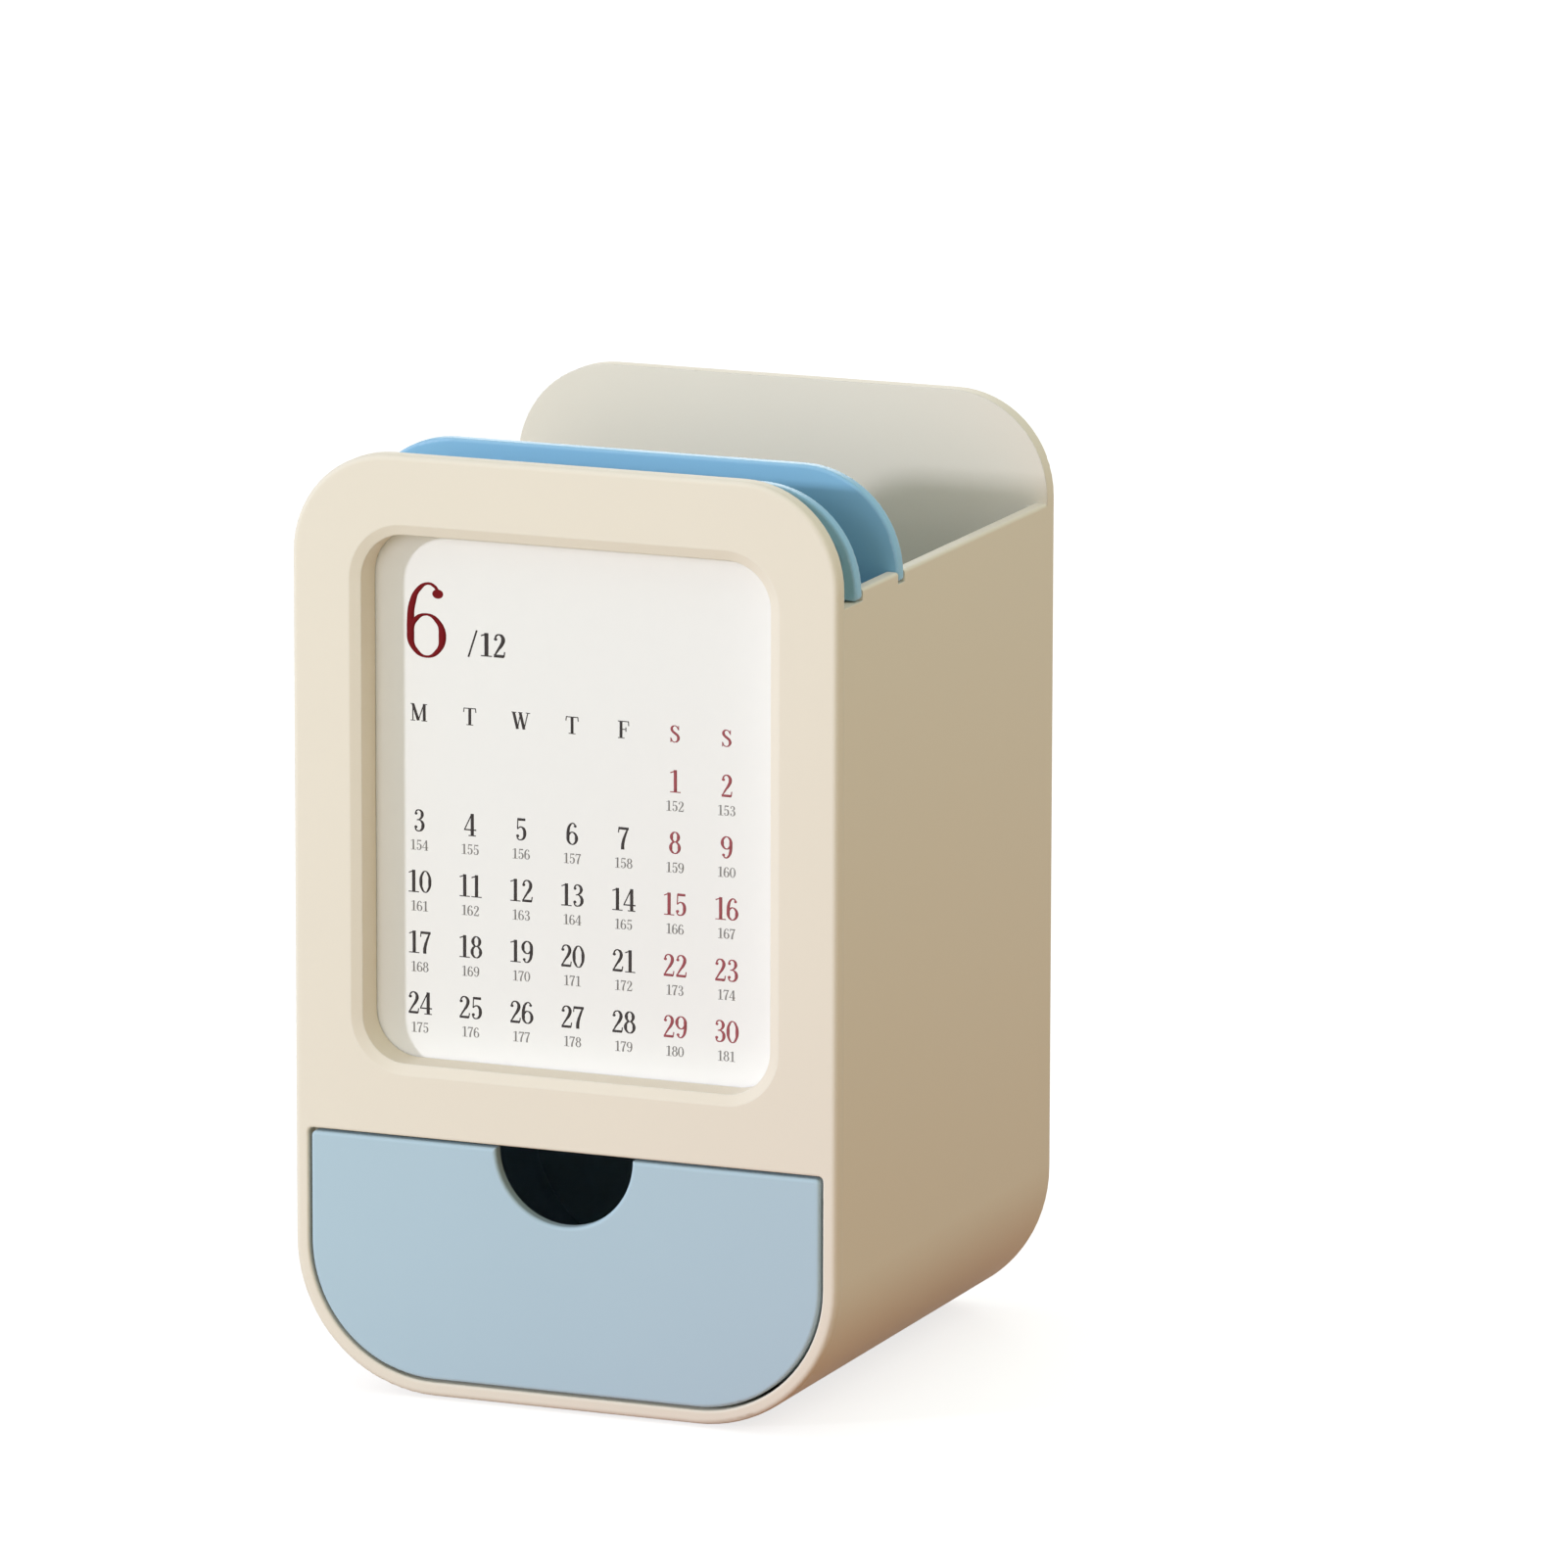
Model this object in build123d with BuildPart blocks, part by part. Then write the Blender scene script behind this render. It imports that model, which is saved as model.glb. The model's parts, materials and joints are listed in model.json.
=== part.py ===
"""Desk calendar organiser: pen cup, note slot, month cards behind a window, and a drawer.

The origin is at the middle of the foot pads' resting plane. +X runs to the right as seen
from the front, +Y runs from the front frame to the back wall, and +Z is up.
"""
from build123d import *
import os

# ---- driving dimensions, millimetres -----------------------------------------------------

# body
body_width = 113.4
body_depth = 113.5
body_height = 185.1           # from the underside of the shell to the top of the front frame
top_corner = 20.3             # radius of the two upper corners
bottom_corner = 29.0          # radius of the two lower corners
shell_wall = 2.8
back_thickness = 4.4
side_drop = 21.4              # the side walls end this far below the top of the frame
back_inner_round = 2.0        # inside corners where the side walls meet the back wall
outer_edge_round = 1.1        # outer edges of the frame and of the back wall
rim_round = 0.7               # upper edges of the side walls

# front frame
frame_thickness = 3.2
window_width = 89.4
window_height = 108.2
window_sill = 63.4            # lower edge of the window above the underside of the shell
window_corner = 11.2
bevel_width = 2.1
bevel_depth = 1.0
lip_wall = 1.6                # a lip behind the window reaches back to the cards
tongue_thickness = 1.2        # two tongues on the frame locate it inside the side walls
tongue_length = 4.0
tongue_end_margin = 12.0      # distance from the shelf and from the side walls' upper edge

# shelf between the drawer and the compartments above it
shelf_height = 51.7           # underside of the shelf above the underside of the shell
shelf_thickness = 2.4
shelf_fit = 0.2               # gap round the shelf
ledge_width = 1.8             # ledges on the side walls carry the shelf
ledge_depth = 2.0

# drawer
drawer_opening_top = 51.3     # above the underside of the shell
opening_edge_round = 0.5      # front edges of the drawer opening
drawer_gap = 0.6              # all round the drawer
drawer_top_corner = 1.0
drawer_front_wall = 2.4
drawer_wall = 1.8
drawer_floor = 1.8
drawer_wall_drop = 1.8        # the side and rear walls end this far below the front's top
drawer_edge_round = 0.7
notch_radius = 14.3           # half-round finger notch in the drawer's front
drawer_travel = 80.0
bumper_width = 12.0           # two bumpers on the rear wall meet the back of the shell
bumper_height = 10.0
bumper_spacing = 60.0
stop_width = 4.0              # stops and lugs keep the drawer from falling out
stop_thickness = 2.0
stop_depth = 1.3              # the stops hang this far below the shelf
lug_height = 9.0              # the drawer's lugs run this far down its side walls

# slot insert and month cards
card_slot = 6.4               # between the frame and the insert, for the window's lip and the cards
card_count = 6                # printed on both sides, two months each
card_thickness = 0.2
card_air = 0.05               # air between neighbouring cards
card_height = 122.0
card_corner = 9.0
insert_wall = 2.7
insert_floor = 2.4
insert_drop = 1.9             # the insert ends this far below the top of the frame
note_slot = 18.6              # inner width of the slot
ear_depth = 2.0               # the insert's ears sink this deep into the side walls
ear_round = 0.8
insert_edge_round = 0.5

# foot pads
pad_diameter = 10.0
pad_recess = 0.8
pad_stand = 0.5               # the pads stand out of the shell this far
pad_edge_round = 0.4
pad_side_margin = 9.0         # from a pad's centre to the side of the flat underside
pad_end_margin = 13.0         # from a pad's centre to the front or back of the body

slip = 0.3                    # gap between pieces that move past each other
press = 0.05                  # gap between pieces that are pressed or bonded together

# ---- heights and depths that follow from them --------------------------------------------

base = pad_stand                                   # underside of the shell
top = base + body_height
rim = top - side_drop                              # upper edge of the side walls
floor_top = base + shell_wall
shelf_bottom = base + shelf_height
shelf_top = shelf_bottom + shelf_thickness
ledge_bottom = shelf_bottom - ledge_depth
half_inside = body_width / 2 - shell_wall          # inner face of a side wall

front_y = -body_depth / 2
frame_back_y = front_y + frame_thickness
back_y = body_depth / 2
back_inner_y = back_y - back_thickness

opening_top = base + drawer_opening_top
drawer_top = opening_top - drawer_gap
drawer_wall_top = drawer_top - drawer_wall_drop
drawer_rear_y = back_inner_y - back_inner_round - slip

insert_front_y = frame_back_y + card_slot
insert_rear_y = insert_front_y + 2 * insert_wall + note_slot
plate_y_positions = (insert_front_y, insert_rear_y - insert_wall)
insert_half_width = half_inside - slip
insert_bottom = shelf_top + slip
insert_top = top - insert_drop
ear_bottom = rim - ear_depth

card_bottom = shelf_top + slip
card_pitch = card_thickness + card_air
card_front_y = insert_front_y - slip - card_count * card_pitch    # front face of the first card
card_half_width = half_inside - slip

pad_spacing_x = body_width - 2 * (bottom_corner + pad_side_margin)
pad_spacing_y = body_depth - 2 * pad_end_margin

front_plane = Plane.XZ.offset(-front_y)            # faces the front, local y is height
frame_back_plane = Plane.XZ.offset(-frame_back_y)


def rounded_outline(half_width, low, high, low_corner, high_corner):
    """Upright rectangle with one radius for the lower corners and one for the upper ones."""
    with BuildSketch() as outline:
        with Locations((0, (low + high) / 2)):
            Rectangle(2 * half_width, high - low)
        fillet(outline.vertices().group_by(Axis.Y)[0], low_corner)
        fillet(outline.vertices().group_by(Axis.Y)[-1], high_corner)
    return outline.sketch


body_outline = rounded_outline(body_width / 2, base, top, bottom_corner, top_corner)
opening_outline = rounded_outline(
    half_inside, floor_top, opening_top, bottom_corner - shell_wall, drawer_top_corner
)
drawer_outline = rounded_outline(
    half_inside - drawer_gap,
    floor_top + drawer_gap,
    drawer_top,
    bottom_corner - shell_wall - drawer_gap,
    drawer_top_corner,
)

# ---- body shell: floor, side walls and back wall in one moulding --------------------------

# The hollow is open at the top, where its outline runs past the body's.
hollow_outline = rounded_outline(
    half_inside, floor_top, top + shell_wall, bottom_corner - shell_wall, top_corner
)
shell_length = back_y - frame_back_y
hollow_length = back_inner_y - frame_back_y

# The space inside the shell, rounded where the side walls meet the back wall.
with BuildPart() as hollow:
    with BuildSketch(frame_back_plane):
        add(hollow_outline)
    extrude(amount=-hollow_length)
    rear_uprights = hollow.faces().sort_by(Axis.Y)[-1].edges().filter_by(Axis.Z)
    fillet(rear_uprights, back_inner_round)

with BuildPart() as body_shell:
    with BuildSketch(frame_back_plane):
        add(body_outline)
    extrude(amount=-shell_length)
    fillet(body_shell.faces().sort_by(Axis.Y)[-1].edges(), outer_edge_round)
    add(hollow.part, mode=Mode.SUBTRACT)

    # the side walls end below the top of the frame, with rounded upper edges
    with BuildSketch(frame_back_plane):
        with Locations((0, rim - rim_round)):
            Rectangle(
                body_width + 2 * shell_wall, side_drop + rim_round, align=(Align.CENTER, Align.MIN)
            )
        for side in (-1, 1):
            with Locations((side * (half_inside + shell_wall / 2), rim)):
                RectangleRounded(
                    shell_wall,
                    2 * shell_wall,
                    rim_round,
                    align=(Align.CENTER, Align.MAX),
                    mode=Mode.SUBTRACT,
                )
    extrude(amount=-hollow_length, mode=Mode.SUBTRACT)

    # notches for the insert's ears, open at the top and at both faces of each side wall; the
    # front one starts at the frame
    front_plate_y, rear_plate_y = plate_y_positions
    for notch_y, next_plate_y in ((frame_back_y, front_plate_y), (rear_plate_y - slip, rear_plate_y)):
        notch_length = next_plate_y + insert_wall + slip - notch_y
        with BuildSketch(Plane.XY.offset(ear_bottom - slip)):
            with Locations((0, notch_y)):
                Rectangle(body_width, notch_length, align=(Align.CENTER, Align.MIN))
        extrude(amount=ear_depth + 2 * slip, mode=Mode.SUBTRACT)

    # ledges that carry the shelf
    for side in (-1, 1):
        with BuildSketch(frame_back_plane):
            with Locations((side * (half_inside - ledge_width / 2), ledge_bottom)):
                Rectangle(ledge_width, ledge_depth, align=(Align.CENTER, Align.MIN))
        extrude(amount=-(hollow_length - back_inner_round))

    # recesses for the foot pads
    with BuildSketch(Plane.XY.offset(base)):
        with GridLocations(pad_spacing_x, pad_spacing_y, 2, 2):
            Circle(pad_diameter / 2 + press)
    extrude(amount=pad_recess, mode=Mode.SUBTRACT)

body_shell.part.label = "body_shell"

# ---- front frame: bevelled window above, drawer opening below ------------------------------

window_low = base + window_sill
window_high = window_low + window_height
window_outline = rounded_outline(
    window_width / 2, window_low, window_high, window_corner, window_corner
)
sight_corner = window_corner - bevel_width
sight_outline = rounded_outline(
    window_width / 2 - bevel_width,
    window_low + bevel_width,
    window_high - bevel_width,
    sight_corner,
    sight_corner,
)
lip_corner = sight_corner + lip_wall
lip_outline = rounded_outline(
    window_width / 2 - bevel_width + lip_wall,
    window_low + bevel_width - lip_wall,
    window_high - bevel_width + lip_wall,
    lip_corner,
    lip_corner,
)
lip_length = card_front_y - slip - frame_back_y

with BuildPart() as front_frame:
    with BuildSketch(front_plane):
        add(body_outline)
    extrude(amount=-frame_thickness)
    fillet(front_frame.faces().sort_by(Axis.Y)[0].edges(), outer_edge_round)

    # lip behind the window, which ends one slip in front of the cards
    with BuildSketch(frame_back_plane):
        add(lip_outline)
    extrude(amount=-lip_length)

    # bevelled window
    with BuildSketch(front_plane):
        add(window_outline)
    with BuildSketch(front_plane.offset(-bevel_depth)):
        add(sight_outline)
    loft(ruled=True, mode=Mode.SUBTRACT)
    with BuildSketch(front_plane):
        add(sight_outline)
    extrude(amount=-(frame_thickness + lip_length), mode=Mode.SUBTRACT)

    # drawer opening
    with BuildSketch(front_plane):
        add(opening_outline)
    extrude(amount=-frame_thickness, mode=Mode.SUBTRACT)
    frame_face = front_frame.faces().sort_by(Axis.Y)[0]
    fillet(frame_face.inner_wires().sort_by(Axis.Z)[0].edges(), opening_edge_round)

    # tongues that slip inside the side walls
    tongue_low = shelf_top + tongue_end_margin
    tongue_high = rim - tongue_end_margin
    for side in (-1, 1):
        with BuildSketch(frame_back_plane):
            with Locations((side * (half_inside - press - tongue_thickness / 2), tongue_low)):
                Rectangle(
                    tongue_thickness, tongue_high - tongue_low, align=(Align.CENTER, Align.MIN)
                )
        extrude(amount=-tongue_length)

front_frame.part.label = "front_frame"

# ---- shelf: roof of the drawer and floor of the compartments --------------------------------

stop_y = frame_back_y + stop_thickness             # front face of the shelf's stops
tray_half_width = half_inside - drawer_gap - drawer_wall

with BuildPart() as shelf:
    with BuildSketch(Plane.XY.offset(shelf_bottom)) as shelf_plan:
        with Locations((0, (frame_back_y + back_inner_y) / 2)):
            Rectangle(2 * (half_inside - shelf_fit), hollow_length - 2 * shelf_fit)
        fillet(shelf_plan.vertices().group_by(Axis.Y)[-1], back_inner_round + shelf_fit)
    extrude(amount=shelf_thickness)

    # stops under the front edge, which catch the drawer's lugs
    for side in (-1, 1):
        with BuildSketch(Plane.XY.offset(shelf_bottom)):
            with Locations((side * (tray_half_width - stop_width / 2), stop_y)):
                Rectangle(stop_width, stop_thickness, align=(Align.CENTER, Align.MIN))
        extrude(amount=-stop_depth)

shelf.part.label = "shelf"

# ---- drawer: tray and front in one moulding, with a finger notch ----------------------------

tray_outline = rounded_outline(
    tray_half_width,
    floor_top + drawer_gap + drawer_floor,
    drawer_top + drawer_wall,
    bottom_corner - shell_wall - drawer_gap - drawer_floor,
    drawer_top_corner,
)
drawer_length = drawer_rear_y - front_y
tray_length = drawer_length - drawer_front_wall - drawer_wall
tray_plane = front_plane.offset(-drawer_front_wall)
lug_top = shelf_bottom - slip
lug_y = stop_y + stop_thickness + slip + drawer_travel    # front face of the lugs at rest

with BuildPart() as drawer:
    with BuildSketch(front_plane):
        add(drawer_outline)
    extrude(amount=-drawer_length)
    with BuildSketch(tray_plane):
        add(tray_outline)
    extrude(amount=-tray_length, mode=Mode.SUBTRACT)

    # the side and rear walls are lower than the front
    with BuildSketch(tray_plane):
        with Locations((0, drawer_wall_top)):
            Rectangle(body_width, drawer_wall_drop, align=(Align.CENTER, Align.MIN))
    extrude(amount=-(drawer_length - drawer_front_wall), mode=Mode.SUBTRACT)

    # finger notch
    with BuildSketch(front_plane):
        with Locations((0, drawer_top)):
            Circle(notch_radius)
    extrude(amount=-drawer_front_wall, mode=Mode.SUBTRACT)
    fillet(drawer.faces().sort_by(Axis.Y)[0].edges(), drawer_edge_round)

    # bumpers that meet the back of the shell
    with BuildSketch(Plane.XZ.offset(-drawer_rear_y)):
        with Locations((0, drawer_wall_top)):
            with GridLocations(bumper_spacing, 0, 2, 1):
                Rectangle(bumper_width, bumper_height, align=(Align.CENTER, Align.MAX))
    extrude(amount=-back_inner_round)

    # lugs inside the side walls, which meet the shelf's stops at full travel
    for side in (-1, 1):
        with BuildSketch(Plane.XY.offset(lug_top)):
            with Locations((side * (tray_half_width - stop_width / 2), lug_y)):
                Rectangle(stop_width, stop_thickness, align=(Align.CENTER, Align.MIN))
        extrude(amount=-lug_height)

drawer.part.label = "drawer"

# ---- slot insert: two plates joined by a floor, dropped in from above -----------------------

with BuildSketch() as plate_outline:
    with BuildLine():
        Polyline(
            (-insert_half_width, insert_bottom),
            (insert_half_width, insert_bottom),
            (insert_half_width, ear_bottom),
            (body_width / 2, ear_bottom),
            (body_width / 2, insert_top),
            (-body_width / 2, insert_top),
            (-body_width / 2, ear_bottom),
            (-insert_half_width, ear_bottom),
            close=True,
        )
    make_face()
    fillet(plate_outline.vertices().group_by(Axis.Y)[-1], top_corner)
    ear_corners = plate_outline.vertices().filter_by(
        lambda corner: corner.Y < ear_bottom + slip and abs(corner.X) > half_inside
    )
    fillet(ear_corners, ear_round)

with BuildPart() as slot_insert:
    for plate_y in plate_y_positions:
        with BuildSketch(Plane.XZ.offset(-plate_y)):
            add(plate_outline.sketch)
        extrude(amount=-insert_wall)
    upper_edges = slot_insert.edges().filter_by(
        lambda edge: edge.center().Z > ear_bottom + ear_depth and edge.length > 2 * insert_wall
    )
    fillet(upper_edges, insert_edge_round)
    with BuildSketch(Plane.XY.offset(insert_bottom)):
        with Locations((0, insert_front_y)):
            Rectangle(
                2 * insert_half_width,
                insert_rear_y - insert_front_y,
                align=(Align.CENTER, Align.MIN),
            )
    extrude(amount=insert_floor)

slot_insert.part.label = "slot_insert"

# ---- month cards: a loose stack between the frame and the insert ----------------------------

month_cards = []
for number in range(card_count):
    card_y = card_front_y + number * card_pitch
    with BuildPart() as month_card:
        with BuildSketch(Plane.XZ.offset(-card_y)):
            with Locations((0, card_bottom + card_height / 2)):
                RectangleRounded(2 * card_half_width, card_height, card_corner)
        extrude(amount=-card_thickness)
    month_card.part.label = f"month_card_{number + 1:02d}"
    month_cards.append(month_card)

# ---- foot pads ------------------------------------------------------------------------------

foot_pads = []
pad_places = GridLocations(pad_spacing_x, pad_spacing_y, 2, 2).locations
for number, place in enumerate(pad_places, start=1):
    with BuildPart() as foot_pad:
        with BuildSketch(Plane.XY):
            with Locations(place):
                Circle(pad_diameter / 2)
        extrude(amount=pad_stand + pad_recess - press)
        fillet(foot_pad.edges().group_by(Axis.Z)[0], pad_edge_round)
    foot_pad.part.label = f"foot_pad_{number}"
    foot_pads.append(foot_pad)

# ---- one file per piece ---------------------------------------------------------------------

os.makedirs("parts", exist_ok=True)
for piece in (body_shell, front_frame, shelf, drawer, slot_insert, *month_cards, *foot_pads):
    export_step(piece.part, f"parts/{piece.part.label}.step")
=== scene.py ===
# %% [markdown]
# Desk calendar organiser.
# A cream plastic box holds a drawer, a stack of month cards behind a bevelled window, a blue
# slot for notes and a pen cup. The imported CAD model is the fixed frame: its pieces keep their
# shape and place, and this script gives them their finish, their light and the printed card.

# %% load the frame
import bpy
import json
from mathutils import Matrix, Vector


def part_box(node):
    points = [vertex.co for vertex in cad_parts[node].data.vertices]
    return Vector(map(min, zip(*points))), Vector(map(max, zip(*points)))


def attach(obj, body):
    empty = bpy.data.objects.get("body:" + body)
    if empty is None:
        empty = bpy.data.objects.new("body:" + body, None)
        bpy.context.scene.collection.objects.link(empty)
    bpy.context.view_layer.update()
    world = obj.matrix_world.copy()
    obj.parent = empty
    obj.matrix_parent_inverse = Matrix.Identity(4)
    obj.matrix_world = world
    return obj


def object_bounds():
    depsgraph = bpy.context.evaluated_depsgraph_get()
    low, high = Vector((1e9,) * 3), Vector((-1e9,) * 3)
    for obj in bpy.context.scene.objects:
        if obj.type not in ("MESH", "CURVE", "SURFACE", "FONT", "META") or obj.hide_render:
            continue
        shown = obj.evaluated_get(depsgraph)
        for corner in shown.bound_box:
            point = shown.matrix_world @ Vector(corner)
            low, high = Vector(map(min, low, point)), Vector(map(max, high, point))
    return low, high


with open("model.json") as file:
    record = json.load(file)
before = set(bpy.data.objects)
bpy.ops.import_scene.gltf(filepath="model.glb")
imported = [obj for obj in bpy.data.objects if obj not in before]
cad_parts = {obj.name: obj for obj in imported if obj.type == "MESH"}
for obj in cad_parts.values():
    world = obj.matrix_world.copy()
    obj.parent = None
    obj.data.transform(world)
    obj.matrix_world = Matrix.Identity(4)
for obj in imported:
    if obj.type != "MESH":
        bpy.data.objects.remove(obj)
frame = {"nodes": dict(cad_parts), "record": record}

cad_low, cad_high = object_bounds()
print("CAD box", [round(v, 4) for v in (*cad_low, *cad_high)])

# %% tools used below
import json
import math

import bpy
from mathutils import Matrix, Vector

MM = 0.001
nodes = frame["nodes"]
bpy.ops.object.select_all(action="DESELECT")

# %% [markdown]
# The camera stands to the right of the box and a little above it, far away behind a long lens,
# which is why the box shows almost no perspective. Its place is written as the way it looks at
# the middle of the front face, so the frame fills the picture as in the photograph.

# %% camera
CAMERA_AZIMUTH = math.radians(22.375)
CAMERA_ELEVATION = math.radians(11.731)
CAMERA_ROLL = math.radians(0.127)
CAMERA_DISTANCE = 2558.7 * MM
CAMERA_SHIFT_RIGHT = 25.32 * MM
CAMERA_SHIFT_UP = 24.27 * MM
TARGET_BEHIND_FRONT = 44.8 * MM
TARGET_ABOVE_UNDERSIDE = 90.3 * MM
SENSOR_WIDTH = 36.0
LENS = 301.35

body_low, body_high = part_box("body_shell")
front_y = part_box("front_frame")[0].y
camera_target = Vector((0.0, front_y + TARGET_BEHIND_FRONT, body_low.z + TARGET_ABOVE_UNDERSIDE))

towards_camera = Vector((
    math.sin(CAMERA_AZIMUTH) * math.cos(CAMERA_ELEVATION),
    -math.cos(CAMERA_AZIMUTH) * math.cos(CAMERA_ELEVATION),
    math.sin(CAMERA_ELEVATION),
))
level_right = (-towards_camera).cross(Vector((0, 0, 1))).normalized()
level_up = level_right.cross(-towards_camera)
right = level_right * math.cos(CAMERA_ROLL) + level_up * math.sin(CAMERA_ROLL)
up = level_up * math.cos(CAMERA_ROLL) - level_right * math.sin(CAMERA_ROLL)

bpy.ops.object.camera_add()
camera = bpy.context.object
camera.name = "camera"
camera.data.sensor_width = SENSOR_WIDTH
camera.data.lens = LENS
camera.data.clip_end = 100.0
camera.matrix_world = Matrix.Translation(
    camera_target + right * CAMERA_SHIFT_RIGHT + up * CAMERA_SHIFT_UP
    + towards_camera * CAMERA_DISTANCE
) @ Matrix((right, up, towards_camera)).transposed().to_4x4()
bpy.context.scene.camera = camera
print("camera at", [round(v, 3) for v in camera.matrix_world.translation])


# %% colours
def from_screen(red, green, blue):
    """Linear colour of a screen colour given as three numbers from 0 to 255."""
    def linear(value):
        share = value / 255
        return share / 12.92 if share <= 0.04045 else ((share + 0.055) / 1.055) ** 2.4
    return (linear(red), linear(green), linear(blue), 1.0)


WHITE = (1.0, 1.0, 1.0, 1.0)


# %% [markdown]
# Node trees are long to write out link by link, so one small helper adds a node, sets its
# plain values and joins its inputs. Every material below is made with it.

# %% helper for node trees
def add_node(tree, kind, values=None, links=None, **settings):
    """Adds a node, sets its settings and input values, and links outputs into its inputs."""
    node = tree.nodes.new(kind)
    for name, value in settings.items():
        setattr(node, name, value)
    for name, value in (values or {}).items():
        node.inputs[name].default_value = value
    for name, source in (links or {}).items():
        tree.links.new(source, node.inputs[name])
    return node


# %% [markdown]
# The picture's background is pure white, but white light from all round would wash the box out.
# Light Path tells the two jobs apart: rays from the camera, and rays that a glossy or clear
# surface reflects or lets through, see plain white, and rays that carry light see a dimmer sky.
# That sky is a little warmer on the right, where a room would throw its own light back.

# %% backdrop
SKY_STRENGTH = 0.60
SKY_COOL_SIDE = (0.92, 0.98, 1.18, 1.0)
SKY_WARM_SIDE = (0.95, 0.92, 0.53, 1.0)


def seen_directly(tree):
    """1 for rays that show the background, 0 for rays that only carry light."""
    path = add_node(tree, "ShaderNodeLightPath")
    mirror = add_node(
        tree, "ShaderNodeMath", operation="MAXIMUM",
        links={0: path.outputs["Is Glossy Ray"], 1: path.outputs["Is Transmission Ray"]},
    )
    either = add_node(
        tree, "ShaderNodeMath", operation="MAXIMUM",
        links={0: path.outputs["Is Camera Ray"], 1: mirror.outputs[0]},
    )
    return either.outputs[0]


world = bpy.data.worlds.new("studio")
bpy.context.scene.world = world
world.use_nodes = True
tree = world.node_tree
tree.nodes.clear()
direction = add_node(tree, "ShaderNodeTexCoord")
sideways = add_node(tree, "ShaderNodeSeparateXYZ", links={0: direction.outputs["Generated"]})
warmth = add_node(
    tree, "ShaderNodeMapRange", values={"From Min": -1.0, "From Max": 1.0},
    links={"Value": sideways.outputs["X"]},
)
sky_colour = add_node(
    tree, "ShaderNodeMix", data_type="RGBA",
    values={6: SKY_COOL_SIDE, 7: SKY_WARM_SIDE}, links={0: warmth.outputs[0]},
)
sky = add_node(
    tree, "ShaderNodeBackground", values={"Strength": SKY_STRENGTH},
    links={"Color": sky_colour.outputs[2]},
)
backdrop = add_node(tree, "ShaderNodeBackground", values={"Color": WHITE, "Strength": 1.0})
mix = add_node(
    tree, "ShaderNodeMixShader",
    links={0: seen_directly(tree), 1: sky.outputs[0], 2: backdrop.outputs[0]},
)
add_node(tree, "ShaderNodeOutputWorld", links={0: mix.outputs[0]})

# %% [markdown]
# The floor does two jobs as well. Seen directly it is white: part of that is its own glow and
# part is a pale matt surface, and that second part is what still shows the box's soft shadow.
# For all other rays it is a pale table, with a patch of warm shade on the right, where the lamps
# would leave the box's own shadow. That patch makes the right side warmer and darker downwards.
# From below the floor is clear, so the pads and the underside can be looked at too.

# %% floor
FLOOR_SIZE = 8.0
FLOOR_BELOW_PADS = 0.05 * MM
FLOOR_GLOW = 0.75
FLOOR_PALE = (0.42, 0.42, 0.42, 1.0)
FLOOR_TABLE = (0.56, 0.53, 0.36, 1.0)
FLOOR_SHADE = (0.38, 0.10, 0.0, 1.0)
SHADE_CENTRE = (0.28, 0.0, 0.0)
SHADE_CORE = 0.20
SHADE_RADIUS = 0.44

bpy.ops.mesh.primitive_plane_add(size=FLOOR_SIZE, location=(0.0, 0.0, -FLOOR_BELOW_PADS))
floor = bpy.context.object
floor.name = "floor"

floor_material = bpy.data.materials.new("floor_white")
floor_material.use_nodes = True
tree = floor_material.node_tree
tree.nodes.clear()
glow = add_node(tree, "ShaderNodeEmission", values={"Color": WHITE, "Strength": FLOOR_GLOW})
pale = add_node(tree, "ShaderNodeBsdfDiffuse", values={"Color": FLOOR_PALE})
seen_floor = add_node(tree, "ShaderNodeAddShader", links={0: glow.outputs[0], 1: pale.outputs[0]})
spot = add_node(tree, "ShaderNodeTexCoord")
from_centre = add_node(
    tree, "ShaderNodeVectorMath", operation="DISTANCE", values={1: SHADE_CENTRE},
    links={0: spot.outputs["Object"]},
)
shade = add_node(
    tree, "ShaderNodeMapRange", interpolation_type="SMOOTHSTEP",
    values={"From Min": SHADE_CORE, "From Max": SHADE_RADIUS, "To Min": 1.0, "To Max": 0.0},
    links={"Value": from_centre.outputs["Value"]},
)
table_colour = add_node(
    tree, "ShaderNodeMix", data_type="RGBA",
    values={6: FLOOR_TABLE, 7: FLOOR_SHADE}, links={0: shade.outputs[0]},
)
lit_floor = add_node(
    tree, "ShaderNodeBsdfDiffuse", links={"Color": table_colour.outputs[2]},
)
mix = add_node(
    tree, "ShaderNodeMixShader",
    links={0: seen_directly(tree), 1: lit_floor.outputs[0], 2: seen_floor.outputs[0]},
)
side_seen = add_node(tree, "ShaderNodeNewGeometry")
clear = add_node(tree, "ShaderNodeBsdfTransparent")
one_sided = add_node(
    tree, "ShaderNodeMixShader",
    links={0: side_seen.outputs["Backfacing"], 1: mix.outputs[0], 2: clear.outputs[0]},
)
add_node(tree, "ShaderNodeOutputMaterial", links={0: one_sided.outputs[0]})
floor.data.materials.append(floor_material)

# %% [markdown]
# A small key lamp in front on the left draws the shadow that the window's left edge throws on
# the card, and a broad fill lamp almost straight in front softens it. Both are a touch cool, to
# balance the warm sky: together they light the front at a level of about one, so the colours
# written below come out close to how they are written. They stand well back, because a near lamp
# would make the front darker from left to right. A third lamp lights the back, so that the box
# shows its own colour from behind too. A weak lamp above on the right stands near on purpose: it
# makes the side a little brighter towards its top.

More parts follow.
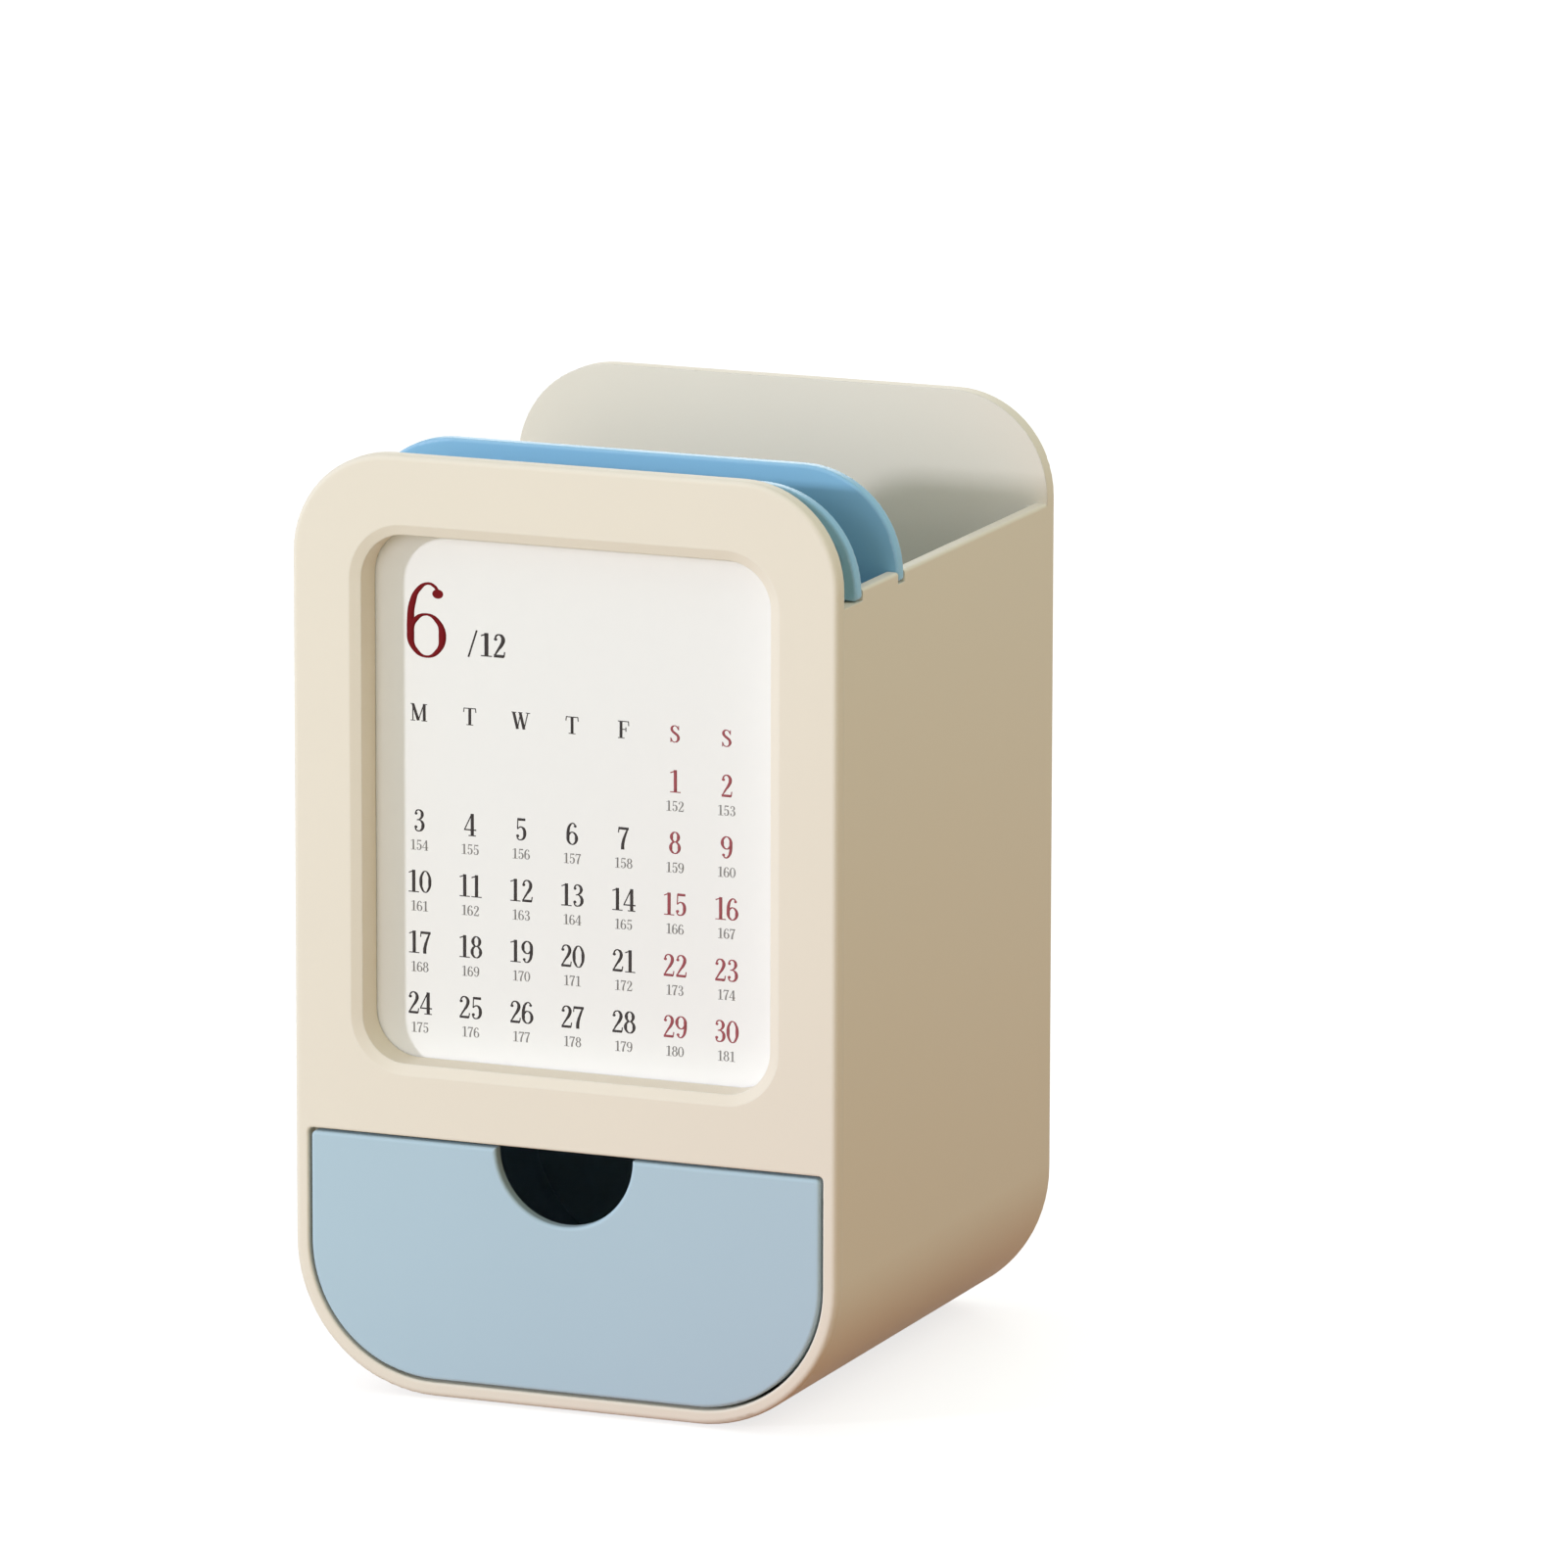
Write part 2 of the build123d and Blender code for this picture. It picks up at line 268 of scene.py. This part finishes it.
# %% lamps
COOL_LAMP = (0.88, 0.93, 1.09)
COOL_SIDE_LAMP = (0.84, 1.06, 1.36)
WHITE_LAMP = (1.0, 1.0, 1.0)
FAR = 4.0
NEAR = 0.62


def lamp(name, direction, distance, size, power, colour):
    """Square area lamp that looks at the middle of the box from a direction."""
    middle = (cad_low + cad_high) / 2
    towards_lamp = Vector(direction).normalized()
    bpy.ops.object.light_add(type="AREA")
    made = bpy.context.object
    made.name = name
    made.data.shape = "SQUARE"
    made.data.size = size
    made.data.energy = power
    made.data.color = colour
    made.location = middle + towards_lamp * distance
    made.rotation_euler = towards_lamp.to_track_quat("Z", "Y").to_euler()
    print(name, "at", [round(v, 2) for v in made.location])


lamp("key_lamp", (-0.887, -1.0, 0.24), FAR, size=0.20, power=67.0, colour=COOL_LAMP)
lamp("fill_lamp", (-0.02, -1.0, 0.20), FAR, size=1.50, power=35.0, colour=COOL_LAMP)
lamp("back_lamp", (-0.35, 1.0, 0.45), FAR, size=1.50, power=30.0, colour=WHITE_LAMP)
lamp("side_lamp", (1.0, 0.12, 0.85), NEAR, size=0.30, power=0.50, colour=COOL_SIDE_LAMP)

bpy.context.scene.view_settings.view_transform = "Standard"

# %% [markdown]
# The plastic pieces come out of a mould whose steel was blasted to a fine satin grain, so they
# have no mirror gloss. Three small things are meant to keep such a surface from being one flat
# colour: the grain itself, a very slow drift of tone where the plastic flowed, and edges that are
# a little smoother where hands polish them, with a paler colour painted on them as a highlight.
# All the pieces share these, so they are two node groups, each built once: one for grain and
# drift, one for edges.

# %% shared effect: grain and drift
SLOW_NOISE = {"Detail": 3.0, "Roughness": 0.55}
FINE_NOISE = {"Detail": 2.0, "Roughness": 0.6}


def new_group(name, inputs, outputs):
    """Empty shader group with the given sockets; returns its tree, input and output nodes."""
    group = bpy.data.node_groups.new(name, "ShaderNodeTree")
    for direction, sockets in (("INPUT", inputs), ("OUTPUT", outputs)):
        for socket_name, kind in sockets:
            group.interface.new_socket(socket_name, in_out=direction, socket_type=kind)
    return group, group.nodes.new("NodeGroupInput"), group.nodes.new("NodeGroupOutput")


NUMBER, COLOUR, ARROW = "NodeSocketFloat", "NodeSocketColor", "NodeSocketVector"

surface_grain, given, result = new_group(
    "surface_grain",
    inputs=[("Colour", COLOUR), ("Drift", NUMBER), ("Drift Scale", NUMBER),
            ("Grain Scale", NUMBER), ("Roughness", NUMBER), ("Roughness Drift", NUMBER)],
    outputs=[("Color", COLOUR), ("Roughness", NUMBER), ("Height", NUMBER)],
)
place = add_node(surface_grain, "ShaderNodeTexCoord")
slow = add_node(
    surface_grain, "ShaderNodeTexNoise", values=SLOW_NOISE,
    links={"Vector": place.outputs["Object"], "Scale": given.outputs["Drift Scale"]},
)
fine = add_node(
    surface_grain, "ShaderNodeTexNoise", values=FINE_NOISE,
    links={"Vector": place.outputs["Object"], "Scale": given.outputs["Grain Scale"]},
)
centred = add_node(
    surface_grain, "ShaderNodeMath", operation="SUBTRACT", values={1: 0.5},
    links={0: slow.outputs["Fac"]},
)
tone = add_node(
    surface_grain, "ShaderNodeMath", operation="MULTIPLY_ADD", values={2: 1.0},
    links={0: centred.outputs[0], 1: given.outputs["Drift"]},
)
toned = add_node(
    surface_grain, "ShaderNodeHueSaturation",
    links={"Color": given.outputs["Colour"], "Value": tone.outputs[0]},
)
rough = add_node(
    surface_grain, "ShaderNodeMath", operation="MULTIPLY_ADD",
    links={0: centred.outputs[0], 1: given.outputs["Roughness Drift"],
           2: given.outputs["Roughness"]},
)
surface_grain.links.new(toned.outputs["Color"], result.inputs["Color"])
surface_grain.links.new(rough.outputs[0], result.inputs["Roughness"])
surface_grain.links.new(fine.outputs["Fac"], result.inputs["Height"])
print("group surface_grain with", len(surface_grain.nodes), "nodes")

# %% [markdown]
# The Bevel node looks a small way round each point and gives the direction that the surface
# would have if its edges were rounded. Where that differs from the true direction there is an
# edge, so the same node gives both the soft break of light on a moulded edge and the mask for a
# painted highlight, a paler colour on the edge, and for a lower roughness there. On this object
# the mask is very faint: hardly any point of the picture changes with the edge highlight colours,
# so they can't be used to make an edge look paler here.

# %% shared effect: soft edges
EDGE_SAMPLES = 4
EDGE_FULL = 0.12              # the two directions differ this much on a whole edge

soft_edge, given, result = new_group(
    "soft_edge",
    inputs=[("Radius", NUMBER), ("Colour", COLOUR), ("Edge Highlight Colour", COLOUR),
            ("Edge Highlight And Polish", NUMBER), ("Roughness", NUMBER), ("Edge Roughness", NUMBER)],
    outputs=[("Color", COLOUR), ("Roughness", NUMBER), ("Normal", ARROW)],
)
rounded = add_node(
    soft_edge, "ShaderNodeBevel", samples=EDGE_SAMPLES, links={"Radius": given.outputs["Radius"]},
)
true_shape = add_node(soft_edge, "ShaderNodeNewGeometry")
alike = add_node(
    soft_edge, "ShaderNodeVectorMath", operation="DOT_PRODUCT",
    links={0: rounded.outputs[0], 1: true_shape.outputs["Normal"]},
)
edge_mask = add_node(
    soft_edge, "ShaderNodeMapRange",
    values={"From Min": 1.0, "From Max": 1.0 - EDGE_FULL, "To Min": 0.0, "To Max": 1.0},
    links={"Value": alike.outputs["Value"]},
)
# Painted highlight and polish: on edges the colour is mixed toward a paler one and the roughness is
# lowered.
highlight_and_polish_share = add_node(
    soft_edge, "ShaderNodeMath", operation="MULTIPLY",
    links={0: edge_mask.outputs[0], 1: given.outputs["Edge Highlight And Polish"]},
)
edge_highlight_colour = add_node(
    soft_edge, "ShaderNodeMix", data_type="RGBA",
    links={0: highlight_and_polish_share.outputs[0], 6: given.outputs["Colour"], 7: given.outputs["Edge Highlight Colour"]},
)
edge_rough = add_node(
    soft_edge, "ShaderNodeMix", data_type="FLOAT",
    links={0: highlight_and_polish_share.outputs[0], 2: given.outputs["Roughness"],
           3: given.outputs["Edge Roughness"]},
)
soft_edge.links.new(edge_highlight_colour.outputs[2], result.inputs["Color"])
soft_edge.links.new(edge_rough.outputs[0], result.inputs["Roughness"])
soft_edge.links.new(rounded.outputs[0], result.inputs["Normal"])
print("group soft_edge with", len(soft_edge.nodes), "nodes")

# %% [markdown]
# One recipe then serves the three plastics, and later the rubber: grain and drift first, edges on
# top, and a faint bump for the grain. The specular level is low, because a blasted surface
# scatters what a polished one would mirror.

# %% plastics
GRAIN_SCALE = 1500.0          # grains of roughly two thirds of a millimetre
GRAIN_HEIGHT = 0.012 * MM
GRAIN_BUMP = 0.25
TONE_DRIFT = 0.030
TONE_DRIFT_SCALE = 24.0
ROUGHNESS_DRIFT = 0.12
EDGE_POLISH = 0.8             # an edge's roughness, as a share of the face's


def moulded(name, colour, edge_highlight_colour, roughness, specular, edge_highlight_and_polish, edge_radius):
    """Moulded plastic with a satin grain, and a very faint paler tint painted on its edges as a
    highlight.
    """
    material = bpy.data.materials.new(name)
    material.use_nodes = True
    tree = material.node_tree
    shader = tree.nodes["Principled BSDF"]
    shader.inputs["Specular IOR Level"].default_value = specular
    grain = add_node(
        tree, "ShaderNodeGroup", node_tree=surface_grain,
        values={"Colour": colour, "Drift": TONE_DRIFT, "Drift Scale": TONE_DRIFT_SCALE,
                "Grain Scale": GRAIN_SCALE, "Roughness": roughness,
                "Roughness Drift": ROUGHNESS_DRIFT},
    )
    edge = add_node(
        tree, "ShaderNodeGroup", node_tree=soft_edge,
        values={"Radius": edge_radius, "Edge Highlight Colour": edge_highlight_colour, "Edge Highlight And Polish": edge_highlight_and_polish,
                "Edge Roughness": roughness * EDGE_POLISH},
        links={"Colour": grain.outputs["Color"], "Roughness": grain.outputs["Roughness"]},
    )
    bump = add_node(
        tree, "ShaderNodeBump", values={"Strength": GRAIN_BUMP, "Distance": GRAIN_HEIGHT},
        links={"Height": grain.outputs["Height"], "Normal": edge.outputs["Normal"]},
    )
    tree.links.new(edge.outputs["Color"], shader.inputs["Base Color"])
    tree.links.new(edge.outputs["Roughness"], shader.inputs["Roughness"])
    tree.links.new(bump.outputs["Normal"], shader.inputs["Normal"])
    return material


# The second colour of each is a paler one, painted on its edges as a highlight.
finishes = {
    "case_plastic": moulded(
        "case_plastic", from_screen(237, 227, 210), from_screen(249, 243, 232),
        roughness=0.50, specular=0.05, edge_highlight_and_polish=0.7, edge_radius=0.4 * MM,
    ),
    "drawer_plastic": moulded(
        "drawer_plastic", from_screen(180, 203, 215), from_screen(212, 229, 238),
        roughness=0.50, specular=0.20, edge_highlight_and_polish=0.8, edge_radius=0.45 * MM,
    ),
    "insert_plastic": moulded(
        "insert_plastic", from_screen(141, 193, 222), from_screen(196, 226, 250),
        roughness=0.42, specular=0.30, edge_highlight_and_polish=0.9, edge_radius=0.8 * MM,
    ),
}

# %% [markdown]
# The month cards are uncoated board. Its tone drifts very slightly and its fibres make a
# cloudy grain, about twice as coarse as the plastic's and a little shallower.

# %% card stock
BOARD_SPECULAR = 0.2
BOARD_ROUGHNESS = 0.82
BOARD_ROUGHNESS_DRIFT = 0.1
BOARD_DRIFT = 0.018
BOARD_DRIFT_SCALE = 260.0
FIBRE_SCALE = 700.0
FIBRE_HEIGHT = 0.01 * MM
FIBRE_BUMP = 0.2


def board(name, colour):
    """Uncoated printing board with a faint fibre cloud."""
    material = bpy.data.materials.new(name)
    material.use_nodes = True
    tree = material.node_tree
    shader = tree.nodes["Principled BSDF"]
    shader.inputs["Specular IOR Level"].default_value = BOARD_SPECULAR
    fibres = add_node(
        tree, "ShaderNodeGroup", node_tree=surface_grain,
        values={"Colour": colour, "Drift": BOARD_DRIFT, "Drift Scale": BOARD_DRIFT_SCALE,
                "Grain Scale": FIBRE_SCALE, "Roughness": BOARD_ROUGHNESS,
                "Roughness Drift": BOARD_ROUGHNESS_DRIFT},
    )
    bump = add_node(
        tree, "ShaderNodeBump", values={"Strength": FIBRE_BUMP, "Distance": FIBRE_HEIGHT},
        links={"Height": fibres.outputs["Height"]},
    )
    tree.links.new(fibres.outputs["Color"], shader.inputs["Base Color"])
    tree.links.new(fibres.outputs["Roughness"], shader.inputs["Roughness"])
    tree.links.new(bump.outputs["Normal"], shader.inputs["Normal"])
    return material


finishes["card_stock"] = board("card_stock", from_screen(243, 241, 237))

# %% [markdown]
# The four foot pads are soft rubber: much duller than the plastics, with the same fine grain.

# %% rubber
# The second colour is painted on the pads' edges as a highlight.
finishes["pad_rubber"] = moulded(
    "pad_rubber", from_screen(150, 150, 148), from_screen(172, 171, 168),
    roughness=0.85, specular=0.25, edge_highlight_and_polish=0.8, edge_radius=0.3 * MM,
)

# %% dress the CAD pieces
for entry in frame["record"]["subparts"]:
    piece = nodes[entry["node"]]
    piece.data.materials.clear()
    piece.data.materials.append(finishes[entry["material_slot"]])

# %% [markdown]
# The front card is printed: a large month number, the count of months beside it, a letter over
# each weekday, the dates, and under each date a small number that counts the days of the year.
# Real print is a film of ink, so each character is a film too, a few hundredths of a millimetre
# thick and sunk a little into the card, which lets it move with the card. The characters are
# drawn as with a pen. A stroke is a Bezier curve through a few points, and every point has its own
# width: thick on the way down, thin on the way across. Numbers are in hundredths of a
# character's height.

# %% one stroke of the pen
BALL_SIDES = 5                # sides of a ball end, times the number of steps
HALF_RIBBON = 0.5             # makes a ribbon as wide as its knots' radius
RING_POINTS = 8


def stroke(points, steps, closed=False):
    """Flat ribbon through points given as (x, y, width)."""
    bpy.ops.curve.primitive_bezier_curve_add()
    ribbon = bpy.context.object
    ribbon.data.twist_mode = "Z_UP"
    ribbon.data.resolution_u = steps
    ribbon.data.extrude = HALF_RIBBON
    spline = ribbon.data.splines[0]
    spline.radius_interpolation = "EASE"
    spline.use_cyclic_u = closed
    spline.bezier_points.add(len(points) - 2)
    for knot, (x, y, width) in zip(spline.bezier_points, points):
        knot.co = (x, y, 0.0)
        knot.radius = width
        knot.tilt = math.pi / 2
        knot.handle_left_type = knot.handle_right_type = "AUTO"
    bpy.ops.object.convert(target="MESH")
    return bpy.context.object


def ring(x, y, half_width, half_height, thick, thin):
    """Points of an upright oval that is thick at its sides and thin above and below."""
    turns = [math.tau * step / RING_POINTS for step in range(RING_POINTS)]
    return [(x + half_width * math.cos(turn), y + half_height * math.sin(turn),
             thin + (thick - thin) * math.cos(turn) ** 2) for turn in turns]


def ball(x, y, radius, steps):
    """Flat round end of a stroke."""
    bpy.ops.mesh.primitive_circle_add(
        vertices=BALL_SIDES * steps, radius=radius, fill_type="NGON", location=(x, y, 0.0),
    )
    bpy.ops.object.transform_apply(location=True, rotation=False, scale=False)
    return bpy.context.object


# %% [markdown]
# A character is a width and a list of strokes, rings and balls. The pieces of a character cross,
# and two films of the same height would flicker there, so every next piece is thicker by a tenth
# of the first. A nine is a six that is turned by half a turn.

# %% the characters
THICK, THIN, SERIF = 13.5, 5.0, 4.5
CHARACTER_HEIGHT = 100
FILM_STEP = 0.1               # what each next piece of a character adds to its thickness
MERGE_DISTANCE = 0.001


def bar(x0, y0, x1, y1, width):
    """Straight stroke of one width."""
    return ("stroke", [(x0, y0, width), (x1, y1, width)])


CHARACTERS = {
    "0": (50, [("ring", (25, 50, 18.5, 47.5))]),
    "1": (48, [bar(25.5, 0, 25.5, 100, THICK), bar(4, 2.2, 47, 2.2, SERIF),
               bar(25, 96, 5, 87, THIN)]),
    "2": (50, [("stroke", [(10.5, 76, 5), (12.5, 89, 6.5), (24, 97.2, 5.5), (36, 90, 11),
                           (40, 74, 13.5), (34, 54, 12), (21, 32, 8), (8.5, 9, 5.5)]),
               bar(4.5, 5.5, 43, 5.5, 11), bar(43, 3, 46, 25, SERIF), ("ball", (11.5, 76.5, 6.5))]),
    "3": (50, [("stroke", [(9, 80, 5), (13, 92, 6), (23, 97.2, 5.5), (34, 90.5, 10),
                           (37.5, 76.5, 13), (33, 62, 9), (22, 53.5, 5), (15, 52.5, 4.5)]),
               ("stroke", [(15, 52.5, 4.5), (26, 52, 5), (37, 43, 11), (40.5, 26.5, 13.5),
                           (35.5, 10, 10), (24, 2.8, 5.5), (12.5, 6, 6), (8, 19, 5)]),
               ("ball", (12, 80.5, 6)), ("ball", (11, 20, 6.5))]),
    "4": (52, [bar(35, 0, 35, 100, THICK), bar(33, 98, 3, 28, THIN), bar(1, 27.5, 51, 27.5, 6),
               bar(19, 2.2, 50, 2.2, SERIF)]),
    "5": (50, [bar(10.5, 94, 43, 94, 11.5), bar(12, 98, 10, 50, SERIF),
               ("stroke", [(10, 50, 4.5), (16, 57, 5.5), (25, 60.5, 6), (36, 52.5, 11.5),
                           (40, 32, 13.5), (35.5, 11.5, 10), (23.5, 2.8, 5.5), (12.5, 6, 6),
                           (8, 18, 5)]),
               ("ball", (11, 19.5, 6.5))]),
    "6": (50, [("stroke", [(39, 85, 5), (34, 94, 6), (27, 97.2, 5.5), (16.5, 89, 9),
                           (9.5, 70, 12), (7.5, 46, 13), (7.5, 30, 13)]),
               ("ring", (25, 30, 17.5, 27.2)), ("ball", (37.5, 84.5, 6))]),
    "7": (48, [bar(4, 94, 45.5, 94, 11.5), bar(5.5, 98, 3.5, 74, SERIF),
               ("stroke", [(41, 93, 7), (31.5, 66, 9.5), (23.5, 38, 12), (20.5, 18, 13.5),
                           (20.5, 0, 13.5)])]),
    "8": (50, [("ring", (25, 75.5, 14.2, 21.8)), ("ring", (25, 28.5, 17.5, 25.8))]),
    "9": (50, [("stroke", [(11, 15, 5), (16, 6, 6), (23, 2.8, 5.5), (33.5, 11, 9),
                           (40.5, 30, 12), (42.5, 54, 13), (42.5, 70, 13)]),
               ("ring", (25, 70, 17.5, 27.2)), ("ball", (12.5, 15.5, 6))]),
    "/": (50, [bar(8, -8, 40, 108, 6)]),
    "M": (81, [bar(12, 2, 12, 98, THIN), bar(12, 98, 38, 3, THICK), bar(38, 5, 64, 98, THIN),
               bar(66, 0, 66, 100, THICK), bar(1, 2.2, 23, 2.2, SERIF),
               bar(52, 2.2, 80, 2.2, SERIF), bar(1, 97.8, 16, 97.8, SERIF),
               bar(62, 97.8, 80, 97.8, SERIF)]),
    "T": (62, [bar(31, 0, 31, 98, THICK), bar(2, 97, 60, 97, 5.5), bar(15, 2.2, 47, 2.2, SERIF),
               bar(4, 98, 2, 74, SERIF), bar(58, 98, 60, 74, SERIF)]),
    "W": (88, [bar(10, 97, 28, 2, THICK), bar(28, 4, 43, 95, THIN), bar(41, 97, 59, 2, THICK),
               bar(59, 4, 77, 97, THIN), bar(0, 97.8, 22, 97.8, SERIF),
               bar(31, 97.8, 52, 97.8, SERIF), bar(67, 97.8, 88, 97.8, SERIF)]),
    "F": (54, [bar(15.5, 0, 15.5, 100, THICK), bar(1, 97.2, 51, 97.2, 5.5),
               bar(16, 51.5, 38, 51.5, THIN), bar(1, 2.2, 32, 2.2, SERIF),
               bar(50, 98, 52, 73, SERIF), bar(38.5, 64, 38.5, 39, SERIF)]),
    "S": (50, [("stroke", [(40, 78, 5), (34, 92, 6), (24, 97.2, 5.5), (13, 91, 10),
                           (9.5, 78, 12.5), (14, 65, 13), (25, 54, 14), (37, 42, 13),
                           (41, 26, 13), (35, 9, 9), (24, 2.8, 5.5), (13, 7.5, 6), (7, 23, 5)]),
               bar(42, 98, 42, 72, SERIF), bar(5.5, 28, 5.5, 2, SERIF)]),
}


def film(flat, thickness):
    """Gives a flat shape its thickness, as a closed film."""
    bpy.ops.object.mode_set(mode="EDIT")
    bpy.ops.mesh.select_all(action="SELECT")
    bpy.ops.mesh.remove_doubles(threshold=MERGE_DISTANCE)
    bpy.ops.mesh.extrude_region_move(TRANSFORM_OT_translate={"value": (0.0, 0.0, thickness)})
    bpy.ops.mesh.select_all(action="SELECT")
    bpy.ops.mesh.normals_make_consistent(inside=False)
    bpy.ops.object.mode_set(mode="OBJECT")
    return flat


def join(name, pieces):
    """Joins pieces into the first one and names it."""
    bpy.ops.object.select_all(action="DESELECT")
    for piece in pieces:
        piece.select_set(True)
    bpy.context.view_layer.objects.active = pieces[0]
    if len(pieces) > 1:
        bpy.ops.object.join()
    pieces[0].name = name
    return pieces[0]


def draw_character(character, steps, weight):
    """Draws a character once, flat, with its lower left corner at the origin."""
    films = []
    for kind, shape in CHARACTERS[character][1]:
        if kind == "ball":
            flat = ball(*shape, steps)
        elif kind == "ring":
            flat = stroke(ring(*shape, THICK * weight, THIN * weight), steps, closed=True)
        else:
            flat = stroke([(x, y, width * weight) for x, y, width in shape], steps)
        films.append(film(flat, 1.0 + FILM_STEP * len(films)))
    return join("character", films)


# %% [markdown]
# Ink soaks into board a little unevenly and leaves it as dull as before, so each ink is the card's
# own finish in another colour.

# %% inks
inks = {
    "print_month": from_screen(116, 10, 18),
    "print_dark": from_screen(66, 61, 60),
    "print_rest_days": from_screen(160, 82, 88),
    "print_day_numbers": from_screen(140, 137, 134),
}
for name, colour in inks.items():
    finishes[name] = board(name, colour)

# %% [markdown]
# Each character is drawn once for each fineness, and every place on the card gets its own copy.
# The flat drawing is stood up against the card's front face, and all the copies in one ink are
# joined into one piece.

# %% set the type
INK_FILM = 0.02 * MM
INK_SUNK = 0.01 * MM
LETTER_GAP = 1                # between characters, in hundredths of their height

card_face_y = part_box("month_card_01")[0].y
drawn = {}
printed = {name: [] for name in inks}


def set_line(text, x, z, height, ink, steps=4, weight=1.0, stretch=1.0):
    """Prints a line of characters in one ink, centred on x and z."""
    widths = [CHARACTERS[character][0] + LETTER_GAP for character in text]
    left = x - (sum(widths) - LETTER_GAP) * height * stretch / (2 * CHARACTER_HEIGHT)
    for character, width in zip(text, widths):
        key = (character, steps, weight)
        if key not in drawn:
            drawn[key] = draw_character(*key)
        copy = drawn[key].copy()
        copy.data = drawn[key].data.copy()
        bpy.context.scene.collection.objects.link(copy)
        copy.data.transform(
            Matrix.Translation((left, card_face_y + INK_SUNK, z - height / 2))
            @ Matrix.Rotation(math.pi / 2, 4, "X")
            @ Matrix.Diagonal((height * stretch / CHARACTER_HEIGHT, height / CHARACTER_HEIGHT,
                               INK_FILM, 1.0))
        )
        printed[ink].append(copy)
        left += width * height * stretch / CHARACTER_HEIGHT


# %% the month and the weekdays
MONTH_PLACE = (-31.9 * MM, 152.3 * MM)
MONTH_HEIGHT = 15.2 * MM
MONTH_COUNT_PLACE = (-19.4 * MM, 148.4 * MM)
MONTH_COUNT_HEIGHT = 4.6 * MM
FIRST_COLUMN_X = -33.55 * MM
COLUMN_PITCH = 10.71 * MM
WEEKDAY_Z = 134.05 * MM
WEEKDAY_HEIGHT = 3.4 * MM
WEEKDAYS = "MTWTFSS"
FIRST_REST_COLUMN = 5


def ink_of(column):
    """Ink of a weekday's column: the last two are rest days."""
    return "print_rest_days" if column >= FIRST_REST_COLUMN else "print_dark"


set_line("6", *MONTH_PLACE, MONTH_HEIGHT, "print_month", steps=8, weight=0.62, stretch=1.26)
set_line("/12", *MONTH_COUNT_PLACE, MONTH_COUNT_HEIGHT, "print_dark", weight=1.15, stretch=1.2)
for column, letter in enumerate(WEEKDAYS):
    set_line(
        letter, FIRST_COLUMN_X + column * COLUMN_PITCH, WEEKDAY_Z, WEEKDAY_HEIGHT,
        ink_of(column), steps=3, stretch=1.3,
    )

# %% the days
FIRST_ROW_Z = 124.8 * MM
ROW_PITCH = 12.03 * MM
DATE_HEIGHT = 4.4 * MM
DAY_NUMBER_DROP = 4.85 * MM
DAY_NUMBER_HEIGHT = 2.0 * MM
DAYS_BEFORE_MONTH = 151
DAYS_IN_MONTH = 30
FIRST_DAY_COLUMN = 5

for day in range(1, DAYS_IN_MONTH + 1):
    row, column = divmod(FIRST_DAY_COLUMN + day - 1, len(WEEKDAYS))
    x = FIRST_COLUMN_X + column * COLUMN_PITCH
    z = FIRST_ROW_Z - row * ROW_PITCH
    set_line(str(day), x, z, DATE_HEIGHT, ink_of(column), stretch=1.15)
    set_line(
        str(DAYS_BEFORE_MONTH + day), x, z - DAY_NUMBER_DROP, DAY_NUMBER_HEIGHT,
        "print_day_numbers", steps=2, stretch=1.25,
    )

# %% join the print and let it ride on its card
for template in drawn.values():
    bpy.data.objects.remove(template)
for name, copies in printed.items():
    piece = join(name, copies)
    piece.data.materials.clear()
    piece.data.materials.append(finishes[name])
    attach(piece, "card_01")
    print(name, len(copies), "characters,", len(piece.data.polygons), "faces")
